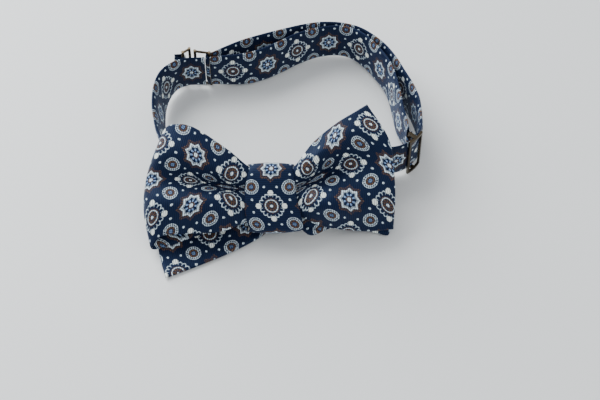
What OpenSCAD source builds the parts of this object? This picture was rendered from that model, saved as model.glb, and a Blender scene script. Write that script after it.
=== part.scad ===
// Tied butterfly bow tie on an adjustable neckband.
// +Z is up, the table is z = 0, and +Y runs from the bow towards the back of the neck.
// Every piece is drawn about the foot of the knot, then moved so that the middle of
// the whole tie's footprint is the origin.

/* [Neckband] */
// Width of the neck loop, left to right
neck_w = 132; // [110:1:160]
// Depth of the neck loop, from the knot to the back
neck_d = 109; // [92:1:132]
// Height of the band, standing on its edge
band_w = 21; // [17:0.5:26]
// Thickness of the lined band
band_t = 1.6; // [1.4:0.1:2]

/* [Bow] */
// Width of the bow, tip to tip
bow_w = 120; // [98:1:144]
// Height of the bow at its flat end
bow_h = 60; // [48:1:72]
// Lean of the bow back from the table
bow_lean = 37; // [32:1:42]
// Width of the knot, across the bow
knot_w = 22; // [18:0.5:26]
// Height of the knot's wrap
knot_h = 34; // [32:0.5:41]
// Thickness of the knot, front to back
knot_t = 12.8; // [12.4:0.2:14]

/* [Cloth] */
// Thickness of the silk
silk_t = 0.4; // [0.3:0.05:0.5]
// Thickness of the interlining in the bow
interlining_t = 0.7; // [0.5:0.05:0.9]

/* [Metal] */
// Thickness of the wire of the ring and the hook
wire_d = 1.5; // [1.2:0.1:1.8]
// Width of the slider, along the band
slider_w = 10; // [8:0.5:12]
// Thickness of the slider's metal
slider_t = 1.1; // [0.9:0.1:1.4]
// Width of the hook's tongue
tongue_w = 8; // [6:0.5:10]

/* [Clearances] */
// Gap between the band and the metal that slides on it
slide_gap = 0.3; // [0.25:0.05:0.5]
// Gap between a fold and the wire that turns in it
wire_gap = 0.1; // [0.05:0.01:0.1]
// Gap between two layers of cloth
layer_gap = 0.08; // [0.05:0.01:0.15]

/* [Hidden] */

// The middle of the footprint, measured from the foot of the knot
mid_x = 6.5 * neck_w / 132;
mid_y = 37.9 * neck_d / 109;

// Heights: the metal stands on the table and carries the band a little above it
edge_gap = 0.4;
metal_h = band_w + 2 * (wire_d + edge_gap);
band_z = metal_h / 2;
knot_z = 17;

navy = [0.10, 0.14, 0.30];
lining_grey = [0.85, 0.83, 0.78];
bronze = [0.35, 0.27, 0.17];
thread_navy = [0.05, 0.07, 0.16];

// ---------------------------------------------------------------- curves and sheets

function mix(a, b, k) = a + (b - a) * k;
function unit(v) = v / norm(v);
function last(list) = list[len(list) - 1];

// A smooth curve through the points, at k from 0 to 1
function through(p, k) =
    let (
        m = len(p) - 1,
        i = min(floor(k * m), m - 1),
        f = k * m - i,
        a = i > 0 ? p[i - 1] : 2 * p[0] - p[1],
        b = p[i],
        c = p[i + 1],
        d = i + 2 <= m ? p[i + 2] : 2 * p[m] - p[m - 1]
    )
    b + 0.5 * f * ((c - a) + f * ((2 * a - 5 * b + 4 * c - d) + f * (3 * (b - c) + d - a)));

function curve(p, steps) = [for (i = [0 : steps]) through(p, i / steps)];

// A smooth sheet through a net of points, at s along its rows and t across them
function sheet_point(net, s, t) = through([for (row = net) through(row, t)], s);

function sheet_normal(net, s, t) =
    let (
        e = 0.01,
        ds = sheet_point(net, min(s + e, 1), t) - sheet_point(net, max(s - e, 0), t),
        dt = sheet_point(net, s, min(t + e, 1)) - sheet_point(net, s, max(t - e, 0))
    )
    unit(cross(ds, dt));

function sheet_grid(net, rise, ns, nt) = [
    for (i = [0 : ns], j = [0 : nt])
        sheet_point(net, i / ns, j / nt) + rise * sheet_normal(net, i / ns, j / nt)
];

// One layer of cloth, from `low` to `high` above the net's own surface
module layer(net, low, high, ns, nt) {
    row = nt + 1;
    count = (ns + 1) * row;
    top = [
        for (i = [0 : ns - 1], j = [0 : nt - 1])
            let (a = i * row + j)
            each [[a, a + 1, a + row], [a + 1, a + row + 1, a + row]]
    ];
    bottom = [for (f = top) [f[2] + count, f[1] + count, f[0] + count]];
    rim = concat(
        [for (i = [0 : ns]) i * row],
        [for (j = [1 : nt]) ns * row + j],
        [for (i = [1 : ns]) (ns - i) * row + nt],
        [for (j = [1 : nt - 1]) nt - j]
    );
    sides = [
        for (k = [0 : len(rim) - 1])
            let (a = rim[k], b = rim[(k + 1) % len(rim)])
            each [[a, a + count, b], [b, a + count, b + count]]
    ];
    polyhedron(
        concat(sheet_grid(net, high, ns, nt), sheet_grid(net, low, ns, nt)),
        concat([for (f = top) [f[0], f[1], f[2]]], bottom, [for (f = sides) [f[0], f[2], f[1]]])
    );
}

// A skin or a bar drawn through rings of points. With inner rings it is a hollow sleeve.
module loft(outer, inner = []) {
    n = len(outer[0]);
    m = len(outer);
    base = n * m;
    wall = [
        for (i = [0 : m - 2], j = [0 : n - 1])
            let (a = i * n + j, b = i * n + (j + 1) % n)
            each [[a, b, a + n], [b, b + n, a + n]]
    ];
    lining = [for (f = wall) [f[2] + base, f[1] + base, f[0] + base]];
    far = (m - 1) * n;
    rims = [
        for (j = [0 : n - 1])
            let (k = (j + 1) % n)
            each [
                [j, j + base, k], [k, j + base, k + base],
                [far + k, far + j + base, far + j], [far + k + base, far + j + base, far + k]
            ]
    ];
    caps = [
        for (j = [1 : n - 2])
            each [[0, j + 1, j], [far, far + j, far + j + 1]]
    ];
    if (len(inner) > 0)
        polyhedron(concat([for (r = outer) each r], [for (r = inner) each r]), concat(wall, lining, rims));
    else
        polyhedron([for (r = outer) each r], concat(wall, caps));
}

// ---------------------------------------------------------------- neckband routes
// A route is a list of [x, y, lean, cut]: lean is how far the band's top edge stands out
// to the right of the direction of travel, and cut is how far that edge is lowered.

// Points chosen on a loop 132 wide and 109 deep, from the foot of the knot
function on_loop(p) = [p[0] * neck_w / 132, p[1] * neck_d / 109, p[2], 0];
function narrowed(p, cut) = [p[0], p[1], p[2], cut];

// Where the band passes behind the bow it follows the bow's width, and a band taller
// than 21 stands further back, to stay clear of the bow that leans over it
function behind_bow(p, share = 1) = [
    p[0] * (1 + share * (bow_w / 120 - 1)),
    p[1] + share * (band_w - 21) / tan(bow_lean),
    p[2],
    p[3]
];

// The bend at the right front, where the slider runs on the strap
bend_r = 17;
bend_at = on_loop([57.2, 43.6, 0]);
bend_from = 12;
bend_to = 94;
slider_angle = 48;
slider_reach = 14;

function on_bend(angle, r = bend_r) = [
    bend_at[0] + r * sin(angle),
    bend_at[1] - r * cos(angle),
    0,
    0
];

// The meeting of the two ends at the back: s runs along the band to the right, n outwards
meet = on_loop([-35.4, 85.6, 0]);
meet_angle = 3;
fold_r = band_t / 2 + wire_gap + wire_d / 2;
fold_s = fold_r + band_t / 2 + 0.35;

function at_meet(s, n) = [
    meet[0] + s * cos(meet_angle) - n * sin(meet_angle),
    meet[1] + s * sin(meet_angle) + n * cos(meet_angle),
    0,
    0
];

// The two halves of the band narrow and meet behind the knot, under its back
knot_back = 11.5;
half_joint = 0.15;
back_cut = 0.43 * band_w;

left_route = concat(
    curve([
        [-half_joint, knot_back, 0, back_cut], [-knot_w / 2, knot_back + 0.5, 0, 0.9 * back_cut],
        behind_bow(narrowed(on_loop([-22, 16, 0]), back_cut / 3), 0.6),
        behind_bow(on_loop([-33, 20.6, 0])), behind_bow(on_loop([-43, 23.2, -1])),
        behind_bow(on_loop([-50.5, 29, -2.5]), 0.5),
        on_loop([-54.8, 38, -4]),
        on_loop([-56.8, 48, -4.5]), on_loop([-57.8, 58, -4.5]), on_loop([-57.6, 67.5, -4]),
        on_loop([-55.4, 76, -3]), on_loop([-50.4, 82.4, -1]), at_meet(-9, 0)
    ], 30),
    [at_meet(-5, 0), at_meet(-0.35, 0)]
);

strap_front_route = curve([
    [half_joint, knot_back, 0, back_cut], [knot_w / 2, knot_back + 0.5, 0, 0.9 * back_cut],
    behind_bow(narrowed(on_loop([22, 17, 0]), back_cut / 3), 0.6),
    behind_bow(on_loop([34, 22.2, 0]), 0.6), behind_bow(on_loop([47, 24.8, 0]), 0.2),
    on_bend(bend_from)
], 11);

strap_bend_route = [for (i = [1 : 10]) on_bend(mix(bend_from, bend_to, i / 10))];

strap_back_route = curve([
    last(strap_bend_route), on_loop([73.8, 52, 1]), on_loop([72.4, 60, 2]),
    on_loop([69.4, 68.5, 2.5]), on_loop([65.6, 77, 2.5]), on_loop([61.6, 86, 2.5]),
    on_loop([57.4, 93.5, 2.5]), on_loop([52, 100.2, 2]), on_loop([45.4, 105.6, 2]),
    on_loop([38.5, 108.4, 2]), on_loop([32, 109.4, 2]), on_loop([24, 109.2, 2]),
    on_loop([15, 107.4, 2]), on_loop([5, 104.4, 2]), on_loop([-6, 100.8, 2]),
    on_loop([-15.5, 97, 2]), on_loop([-24, 92.8, 1]), at_meet(fold_s + 1.5, 2 * fold_r)
], 46);

strap_fold_route = [for (i = [0 : 6]) at_meet(
    fold_s - fold_r * sin(i * 30),
    fold_r + fold_r * cos(i * 30)
)];

strap_route = concat(
    strap_front_route,
    strap_bend_route,
    [for (i = [1 : len(strap_back_route) - 1]) strap_back_route[i]],
    strap_fold_route
);

// The return run starts where the fold ends, and stops short of the slider's sewn tab
return_start_gap = 0.3;
return_route = curve([
    at_meet(fold_s + return_start_gap, 0), on_loop([-26, 86.2, -1]), on_loop([-15, 87, -2.5]),
    on_loop([-6, 90, -2.5]), on_loop([3, 95, -2.5]), on_loop([12, 100.8, -2.5]),
    on_loop([22, 105.2, -2]), on_loop([32, 107, -2]), on_loop([40, 105.6, -2]),
    on_loop([47, 100.6, -2.5]), on_loop([54, 91.2, -2.5]), on_loop([59, 82, -2.5]),
    on_loop([61.5, 73, -2.5]), on_loop([63.3, 62, -2.5]), on_loop([64.6, 52, -2]),
    on_bend(slider_angle + 36, 10.1), on_bend(slider_angle + 17, 11.1)
], 46);

// ---------------------------------------------------------------- band sections

function heading(route, i) =
    let (
        a = route[max(i - 1, 0)],
        b = route[min(i + 1, len(route) - 1)]
    )
    unit([b[0] - a[0], b[1] - a[1]]);

// The band's section: a flat lozenge with round edges, `half` thick and `high` tall
function section(half, high) = [
    [half, -0.7 * high], [half, 0.7 * high], [0.4 * half, high], [-0.4 * half, high],
    [-half, 0.7 * high], [-half, -0.7 * high], [-0.4 * half, -high], [0.4 * half, -high]
];

function band_rings(route, half, high) = [
    for (i = [0 : len(route) - 1])
        let (p = route[i], d = heading(route, i))
        [for (q = section(half, high))
            let (out = q[0] + p[2] * q[1] / band_w)
            [p[0] + d[1] * out, p[1] - d[0] * out, band_z + q[1] - p[3] * (0.5 + q[1] / band_w)]]
];

module sleeve(route) {
    loft(
        band_rings(route, band_t / 2, band_w / 2),
        band_rings(route, band_t / 2 - silk_t, band_w / 2 - silk_t)
    );
}

module sleeve_filling(route) {
    inset = silk_t + layer_gap;
    loft(band_rings(route, band_t / 2 - inset, band_w / 2 - inset));
}

// ---------------------------------------------------------------- bow nets
// A net point is [u, v, n]: u to the right, v up the leaning bow and n out of it,
// from the middle of the knot, on a bow 120 wide and 60 high with a knot 22 wide and 34 high.
// The cloth at the waist keeps to the knot's size, and the wings to the bow's.
waist = 13;

function on_bow(p) =
    let (
        at_waist = abs(p[0]) < waist,
        u = p[0] * (at_waist ? knot_w / 22 : bow_w / 120),
        v = p[1] * (at_waist ? knot_h / 34 : bow_h / 60),
        n = p[2]
    )
    [u, v * cos(bow_lean) - n * sin(bow_lean), knot_z + v * sin(bow_lean) + n * cos(bow_lean)];

function bow_net(rows) = [for (row = rows) [for (p = row) on_bow(p)]];

// The cloth that passes through the knot, by its height in it
ply_t = 2 * silk_t + interlining_t + 2 * layer_gap;
ply_1 = ply_t * 1.6;
ply_2 = ply_t * 0.55;

// The front piece's flat end, with a pinched valley that runs out of the knot
blade_net = bow_net([
    [[1, -10, ply_1], [1, -5, ply_1], [1, 0.5, ply_1], [1, 6, ply_1], [1, 11, ply_1]],
    [[12.5, -9.5, 2.2], [12.3, -3.5, 2.6], [12, 3.5, 1.6], [11.6, 8.5, 2.4], [11.4, 12.8, 1.8]],
    [[22.5, -13, 0.5], [23, -2, 6.5], [22.5, 9.5, -0.5], [21.5, 18.5, 5], [19.5, 25.5, 2.5]],
    [[34, -15.3, -1.5], [35, -1, 6.8], [34, 15.5, 0], [31.5, 25.5, 4.8], [29.5, 33.8, 0.5]],
    [[47, -16, -3], [48.5, -1, 5], [47, 17, 1.5], [43.5, 30, 3.5], [38.5, 40.8, -1.5]],
    [[59, -15.2, -4.5], [59.5, 0.5, 1.5], [58.6, 15, 0.8], [55.5, 30, 1], [46.2, 45.1, -3.5]]
]);

// The front piece's loop: its front from the knot to the fold, then its back
loop_net = bow_net([
    [[-1, -11, ply_1], [-1, -5, ply_1], [-1, 1, ply_1], [-1, 6, ply_1], [-1, 11, ply_1]],
    [[-12, -11.5, 2.3], [-12, -4, 2.8], [-12, 3, 2.2], [-11.6, 8.5, 2.7], [-11.4, 12.6, 2.1]],
    [[-24, -16, 4.2], [-24, -1.5, 8], [-24, 6, 3.2], [-23, 15, 6.8], [-21.5, 23.6, 4.5]],
    [[-40, -17, 4.8], [-41, -1, 8.2], [-41, 9.5, 6], [-39.5, 21, 7.2], [-37, 33.6, 4.5]],
    [[-52, -18.2, 4.5], [-55.5, -3, 6.5], [-55, 9.5, 6], [-52, 22, 5.8], [-46.5, 35, 3.8]],
    [[-56.5, -24, 1.6], [-61, -7, 0.5], [-60.2, 7, 0.5], [-56.2, 19.5, 0.5], [-50, 32.5, 0.5]],
    [[-50, -22.5, 0.3], [-54.5, -9, -3.8], [-54, 4, -5], [-51.5, 17, -5], [-46, 30, -4]],
    [[-37, -18.5, -2.6], [-38, -9, -5], [-38, 2, -5.6], [-37.5, 13, -5.6], [-36, 26, -4.5]],
    [[-22, -14.5, -2.2], [-22, -7, -3], [-22, 1, -3.2], [-22, 9, -3.2], [-21.5, 19, -2.5]],
    [[-12, -11, 0.2], [-12, -5, 0.2], [-12, 1, 0.2], [-12, 7, 0.2], [-12, 12, 0.2]],
    [[-1, -10.5, ply_2], [-1, -5, ply_2], [-1, 1, ply_2], [-1, 6, ply_2], [-1, 10.5, ply_2]]
]);

// The rear piece's loop, behind the flat end
rear_loop_net = bow_net([
    [[1, -11, -ply_2], [1, -4, -ply_2], [1, 3, -ply_2], [1, 10.5, -ply_2]],
    [[12, -12.5, -0.9], [12, -5, -0.9], [12, 4, -0.9], [12, 11.5, -0.9]],
    [[19, -17, -1.2], [19, -6, -1.8], [19, 5, -3], [18, 15, -2.6]],
    [[30, -14, -3.4], [30, -5, -2.6], [30, 7, -4], [28, 20, -3]],
    [[44, -15, -5.4], [45, -4, -4.2], [43, 9, -4.8], [39, 26, -5]],
    [[55.5, -18, -7], [57.5, -7, -7.3], [54.5, 9, -7.5], [46, 27, -7.2]],
    [[43, -13, -8.9], [43, -4, -10], [41, 8, -10], [36, 19, -9.2]],
    [[24, -14, -6.4], [24, -4, -7], [24, 5, -6.8], [22, 14, -5.8]],
    [[12, -11, -2.8], [12, -4, -3], [12, 4, -3], [12, 11, -2.8]],
    [[1, -10.5, -ply_1], [1, -4, -ply_1], [1, 3, -ply_1], [1, 10.5, -ply_1]]
]);

// The rear piece's flat end runs under the knot and lies out on the table.
// Its points are [x, y, z] from the foot of the knot.
function on_table(p) = [p[0] * bow_w / 120, p[1] * bow_h / 60, p[2]];

tail_net = [for (row = [
    [[0, -8, 1.6], [0, -2, 4.2], [0, 4, 8.5], [0, 8.5, 12.3]],
    [[-10, -15.3, 1.1], [-10, -7, 2.6], [-10, 2, 7.6], [-10, 9.5, 13.2]],
    [[-22, -22.2, 1.1], [-22, -12, 1.8], [-22, -1, 6.5], [-22, 10.5, 14.5]],
    [[-36, -28.8, 1.1], [-37, -16, 1.2], [-37.5, -2, 5.2], [-36, 12, 13.5]],
    [[-49.6, -35.2, 1.1], [-53.6, -20.5, 1.2], [-55.5, -4.5, 5.5], [-51, 12, 13]]
]) [for (p = row) on_table(p)]];

face_low = interlining_t / 2 + layer_gap;
face_high = face_low + silk_t;

module face_layer(net, ns, nt) { layer(net, face_low, face_high, ns, nt); }
module middle_layer(net, ns, nt) { layer(net, -interlining_t / 2, interlining_t / 2, ns, nt); }
module back_layer(net, ns, nt) { layer(net, -face_high, -face_low, ns, nt); }

// ---------------------------------------------------------------- bow pieces

module blade_face() { color(navy) face_layer(blade_net, 15, 12); }
module blade_interlining() { color(lining_grey) middle_layer(blade_net, 15, 12); }
module blade_back() { color(navy) back_layer(blade_net, 15, 12); }

// The loops fold back on themselves, so the cloth's outer side is the net's under side
module loop_face() { color(navy) back_layer(loop_net, 28, 12); }
module loop_interlining() { color(lining_grey) middle_layer(loop_net, 28, 12); }
module loop_back() { color(navy) face_layer(loop_net, 28, 12); }

module tail_face() { color(navy) back_layer(tail_net, 12, 9); }
module tail_interlining() { color(lining_grey) middle_layer(tail_net, 12, 9); }
module tail_back() { color(navy) face_layer(tail_net, 12, 9); }

module rear_loop_face() { color(navy) face_layer(rear_loop_net, 24, 8); }
module rear_loop_interlining() { color(lining_grey) middle_layer(rear_loop_net, 24, 8); }
module rear_loop_back() { color(navy) back_layer(rear_loop_net, 24, 8); }

// The knot's wrap is a barrel round the bow's waist, open to the left and right
knot_wall = 1.4;

function knot_ring(u, half_v, half_n) = [
    for (i = [0 : 19])
        let (
            a = -i * 18,
            v = half_v * sign(cos(a)) * pow(abs(cos(a)), 0.75),
            n = half_n * sign(sin(a)) * pow(abs(sin(a)), 0.6)
        )
        [u, v * cos(bow_lean) - n * sin(bow_lean), knot_z + v * sin(bow_lean) + n * cos(bow_lean)]
];

function knot_rings(inset) = [
    for (i = [0 : 6])
        let (
            k = i / 3 - 1,
            swell = 1 - 0.06 * k * k
        )
        knot_ring(k * knot_w / 2, knot_h / 2 * swell - inset, knot_t / 2 * swell - inset)
];

module knot_silk() { color(navy) loft(knot_rings(0), knot_rings(silk_t)); }

module knot_interlining() {
    color(lining_grey) loft(knot_rings(silk_t + layer_gap), knot_rings(knot_wall));
}

// ---------------------------------------------------------------- band pieces

module left_band_silk() { color(navy) sleeve(left_route); }
module left_band_interlining() { color(lining_grey) sleeve_filling(left_route); }
module strap_silk() { color(navy) sleeve(strap_route); }
module strap_interlining() { color(lining_grey) sleeve_filling(strap_route); }
module strap_return_silk() { color(navy) sleeve(return_route); }
module strap_return_interlining() { color(lining_grey) sleeve_filling(return_route); }

// ---------------------------------------------------------------- ring and hook

// Where the wires stand, across the meeting of the two ends
bar_r = wire_d / 2;
ring_fold = [fold_s, fold_r];
catch_gap = 0.5;
tongue_t = 0.9;
catch = [-4.6, band_t / 2 + 0.35 + tongue_t + catch_gap + bar_r];
tab_t = 0.8;
hook_back = [-10.8, band_t / 2 + 0.2 + tab_t + wire_gap + bar_r];
hook_front = [-7.4, catch[1] + bar_r + catch_gap + tongue_t / 2];

module at_place(p, height = 0) {
    q = at_meet(p[0], p[1]);
    translate([q[0], q[1], height]) rotate(meet_angle) children();
}

// The cross wires are a little thinner than the uprights that they are brazed to
link_r = 0.85 * bar_r;

module wire_link(a, b, height) {
    d = b - a;
    at_place(a, height)
        rotate(atan2(d[1], d[0]))
            rotate([0, 90, 0])
                cylinder(r = link_r, h = norm(d), $fn = 24);
}

// A rectangle of wire that stands on the table between two uprights
module wire_frame(a, b) {
    for (p = [a, b]) at_place(p) cylinder(r = bar_r, h = metal_h, $fn = 32);
    for (z = [bar_r, metal_h - bar_r]) wire_link(a, b, z);
}

module ring() { color(bronze) wire_frame(ring_fold, catch); }

// The tongue runs over the ring's free bar, turns round it and comes back under it
module tongue() {
    in_r = bar_r + catch_gap;
    out_r = in_r + tongue_t;
    at_place(catch, band_z - tongue_w / 2)
        linear_extrude(tongue_w) {
            intersection() {
                difference() {
                    circle(out_r, $fn = 48);
                    circle(in_r, $fn = 48);
                }
                translate([0, -out_r]) square([out_r, 2 * out_r]);
            }
            back = hook_front[0] - catch[0];
            translate([back, in_r]) square([-back, tongue_t]);
            translate([-1.4, -out_r]) square([1.4, tongue_t]);
        }
}

module hook() {
    color(bronze) {
        wire_frame(hook_back, hook_front);
        tongue();
    }
}

// The silk tab that holds the hook: two plies sewn to the band, folded round a wire
tab_l = 4.5;
tab_w = band_w - 2;

module keeper_tab() {
    in_r = bar_r + wire_gap;
    out_r = in_r + tab_t;
    color(navy)
        at_place(hook_back, band_z - tab_w / 2)
            linear_extrude(tab_w) {
                intersection() {
                    difference() {
                        circle(out_r, $fn = 48);
                        circle(in_r, $fn = 48);
                    }
                    translate([0, -out_r]) square([out_r, 2 * out_r]);
                }
                for (y = [in_r, -out_r]) translate([-tab_l, y]) square([tab_l, tab_t]);
            }
}

stitch_r = 0.2;
stitch_l = 2;
stitches = 5;

module stitch_row(pitch) {
    for (i = [0 : stitches - 1])
        translate([0, 0, (i - (stitches - 1) / 2) * pitch - stitch_l / 2])
            cylinder(r = stitch_r, h = stitch_l, $fn = 16);
}

module keeper_stitches() {
    color(thread_navy)
        at_place(hook_back, band_z)
            translate([-tab_l + 1, bar_r + wire_gap + tab_t + stitch_r + 0.02])
                stitch_row(tab_w / (stitches + 0.5));
}

// ---------------------------------------------------------------- slider

// Radii from the axis of the bend, from the strap outwards and from the strap inwards
frame_in = bend_r + band_t / 2 + slide_gap;
frame_out = frame_in + slider_t;
slider_tab_t = 0.9;
tab_outer = bend_r - band_t / 2 - slide_gap;
bar_out = tab_outer - slider_tab_t - wire_gap;
bar_in = bar_out - slider_t;
tab_inner = bar_in - wire_gap - slider_tab_t;
rail_h = 1.2;
side_w = 1.2;
half_turn = slider_w / 2 / frame_out * 180 / PI;
side_turn = side_w / frame_out * 180 / PI;
bar_turn = 1.6 / bar_out * 180 / PI;

// A piece of a ring round the bend's axis, from one angle to another
module bend_piece(r_in, r_out, low, high, from, to) {
    translate([bend_at[0], bend_at[1], low])
        rotate(slider_angle - 90 + from)
            rotate_extrude(angle = to - from, $fn = 90)
                translate([r_in, 0])
                    square([r_out - r_in, high - low]);
}

// A thin frame outside the strap, and a middle bar inside it on two short bridges
module slider() {
    top = metal_h - rail_h;
    window = half_turn - side_turn;
    step = 0.1;
    color(bronze) {
        difference() {
            bend_piece(frame_in, frame_out, 0, metal_h, -half_turn, half_turn);
            bend_piece(frame_in - 1, frame_out + 1, rail_h, top, -window, window);
        }
        difference() {
            bend_piece(bar_in, frame_in + slider_t / 2, step, metal_h - step, -bar_turn / 2, bar_turn / 2);
            bend_piece(bar_out, frame_out, rail_h, top, -bar_turn, bar_turn);
        }
    }
}

// The strap's end, folded round the slider's middle bar and sewn to itself
tab_turn = 16;

module slider_tab() {
    low = band_z - tab_w / 2;
    high = low + tab_w;
    near = -bar_turn / 2 - 1;
    color(navy) {
        bend_piece(tab_outer - slider_tab_t, tab_outer, low, high, near, tab_turn);
        bend_piece(tab_inner, tab_inner + slider_tab_t, low, high, near, tab_turn);
        bend_piece(tab_inner, tab_outer, low, high, near - 3, near);
    }
}

module slider_stitches() {
    angle = slider_angle + tab_turn - 4;
    p = on_bend(angle, tab_inner - stitch_r - 0.02);
    color(thread_navy)
        translate([p[0], p[1], band_z])
            stitch_row(tab_w / (stitches + 0.5));
}

// ---------------------------------------------------------------- the assembly

module placed() { translate([-mid_x, -mid_y, 0]) children(); }

placed() blade_face();
placed() blade_interlining();
placed() blade_back();
placed() loop_face();
placed() loop_interlining();
placed() loop_back();
placed() tail_face();
placed() tail_interlining();
placed() tail_back();
placed() rear_loop_face();
placed() rear_loop_interlining();
placed() rear_loop_back();
placed() knot_silk();
placed() knot_interlining();
placed() left_band_silk();
placed() left_band_interlining();
placed() strap_silk();
placed() strap_interlining();
placed() strap_return_silk();
placed() strap_return_interlining();
placed() keeper_tab();
placed() keeper_stitches();
placed() hook();
placed() ring();
placed() slider();
placed() slider_tab();
placed() slider_stitches();
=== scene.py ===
"""A tied silk bow tie with its adjustable neckband, on a pale table.

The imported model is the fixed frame: metres, +Z up, the table at z = 0, the bow towards -Y.
"""

import math

import bmesh
import bpy
import numpy as np
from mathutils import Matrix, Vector


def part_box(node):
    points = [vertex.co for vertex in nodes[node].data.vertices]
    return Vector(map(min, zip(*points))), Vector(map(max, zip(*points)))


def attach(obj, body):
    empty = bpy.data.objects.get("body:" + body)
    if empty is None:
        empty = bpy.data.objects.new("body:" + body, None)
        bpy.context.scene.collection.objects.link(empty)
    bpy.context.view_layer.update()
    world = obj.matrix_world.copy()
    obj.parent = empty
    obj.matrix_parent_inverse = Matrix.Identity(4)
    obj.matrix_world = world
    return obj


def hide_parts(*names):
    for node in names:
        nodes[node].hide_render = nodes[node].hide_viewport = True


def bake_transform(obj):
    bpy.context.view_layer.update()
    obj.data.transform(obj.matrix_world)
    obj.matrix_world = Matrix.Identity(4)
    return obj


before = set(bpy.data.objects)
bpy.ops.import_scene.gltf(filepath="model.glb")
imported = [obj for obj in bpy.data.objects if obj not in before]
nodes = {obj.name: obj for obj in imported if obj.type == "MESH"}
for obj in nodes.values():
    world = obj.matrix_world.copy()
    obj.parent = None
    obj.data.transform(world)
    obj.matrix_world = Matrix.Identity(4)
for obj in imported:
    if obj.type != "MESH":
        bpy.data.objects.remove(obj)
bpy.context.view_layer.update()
mm = 0.001

# ---------------------------------------------------------------- camera, light and table
# The bow is seen from the front and well above, by a long lens. Light comes from a large
# window at the upper left, so the bow's shadow falls to its right on a pale table.

camera = bpy.data.objects.new("camera", bpy.data.cameras.new("camera"))
bpy.context.scene.collection.objects.link(camera)
camera.data.lens = 85
camera.data.sensor_width = 36
camera.location = Vector((7.44, -443.75, 563.85)) * mm
look_at = Vector((7.44, -26.52, 0)) * mm
camera.rotation_euler = (look_at - camera.location).to_track_quat("-Z", "Y").to_euler()
bpy.context.scene.camera = camera


def softbox(name, place, size, power, colour):
    """A square of even light that faces the bow."""
    light = bpy.data.lights.new(name, "AREA")
    light.shape = "SQUARE"
    light.size = size
    light.energy = power
    light.color = colour
    lamp = bpy.data.objects.new(name, light)
    bpy.context.scene.collection.objects.link(lamp)
    lamp.location = place
    lamp.rotation_euler = (-Vector(place)).to_track_quat("-Z", "Y").to_euler()


softbox("window", (-0.75, 0.80, 0.80), 1.25, 38, (0.95, 0.98, 1.0))
softbox("room", (0.5, -0.7, 1.1), 1.4, 5.5, (1.0, 0.98, 0.95))

world = bpy.data.worlds.new("soft room")
bpy.context.scene.world = world
world.use_nodes = True
world.node_tree.nodes["Background"].inputs["Color"].default_value = (0.84, 0.88, 0.94, 1)
world.node_tree.nodes["Background"].inputs["Strength"].default_value = 0.74

table_half = 1.6
table_mesh = bpy.data.meshes.new("table")
table_mesh.from_pydata(
    [(x * table_half, y * table_half, 0) for x, y in ((-1, -1), (1, -1), (1, 1), (-1, 1))],
    [],
    [(0, 1, 2, 3)],
)
table = bpy.data.objects.new("table", table_mesh)
bpy.context.scene.collection.objects.link(table)
stone = bpy.data.materials.new("pale stone")
stone.use_nodes = True
stone_shader = stone.node_tree.nodes["Principled BSDF"]
stone_shader.inputs["Base Color"].default_value = (0.80, 0.81, 0.80, 1)
stone_shader.inputs["Roughness"].default_value = 0.45
table_mesh.materials.append(stone)

# ---------------------------------------------------------------- the printed silk
# Every outer piece is cut from one cloth: ribbed navy silk, block printed with medallions on
# a square lattice. Diamonds with four cream tips take turns with eight-pointed stars, and
# small round medallions sit between them.

repeat = 18.2


class Formula:
    """A value in a node tree, so that a pattern can be written as plain arithmetic."""

    def __init__(self, tree, socket):
        self.tree = tree
        self.socket = socket

    def step(self, operation, *others):
        node = self.tree.nodes.new("ShaderNodeMath")
        node.operation = operation
        for slot, value in zip(node.inputs, (self, *others)):
            if isinstance(value, Formula):
                self.tree.links.new(value.socket, slot)
            else:
                slot.default_value = value
        return Formula(self.tree, node.outputs[0])

    def __add__(self, other):
        return self.step("ADD", other)

    def __sub__(self, other):
        return self.step("SUBTRACT", other)

    def __mul__(self, other):
        return self.step("MULTIPLY", other)

    def __truediv__(self, other):
        return self.step("DIVIDE", other)

    def size(self):
        return self.step("ABSOLUTE")

    def nearest(self):
        return self.step("ROUND")

    def within(self, limit, soft=0.010):
        """1 where the value is below the limit, with a soft edge."""
        node = self.tree.nodes.new("ShaderNodeMapRange")
        node.interpolation_type = "SMOOTHSTEP"
        self.tree.links.new(self.socket, node.inputs["Value"])
        node.inputs["From Min"].default_value = limit - soft
        node.inputs["From Max"].default_value = limit + soft
        node.inputs["To Min"].default_value = 1
        node.inputs["To Max"].default_value = 0
        return Formula(self.tree, node.outputs["Result"])

    def band(self, middle, half, soft=0.008):
        """1 where the value is within half of the middle."""
        return (self - middle).size().within(half, soft)


def lower(a, b):
    return a.step("MINIMUM", b)


def higher(a, b):
    return a.step("MAXIMUM", b)


def length(x, y):
    return (x * x + y * y).step("SQRT")


def flip(mask):
    return mask * -1 + 1


def spoke(angle, count, turn=0.0):
    """A wave from -1 to 1 with `count` crests round the centre."""
    return (angle * count + turn).step("COSINE")


def new_group(name, inputs, outputs):
    tree = bpy.data.node_groups.new(name, "ShaderNodeTree")
    for label, kind, value in inputs:
        socket = tree.interface.new_socket(name=label, in_out="INPUT", socket_type=kind)
        if value is not None:
            socket.default_value = value
    for label, kind in outputs:
        tree.interface.new_socket(name=label, in_out="OUTPUT", socket_type=kind)
    source = tree.nodes.new("NodeGroupInput")
    target = tree.nodes.new("NodeGroupOutput")
    return tree, source, target


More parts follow.
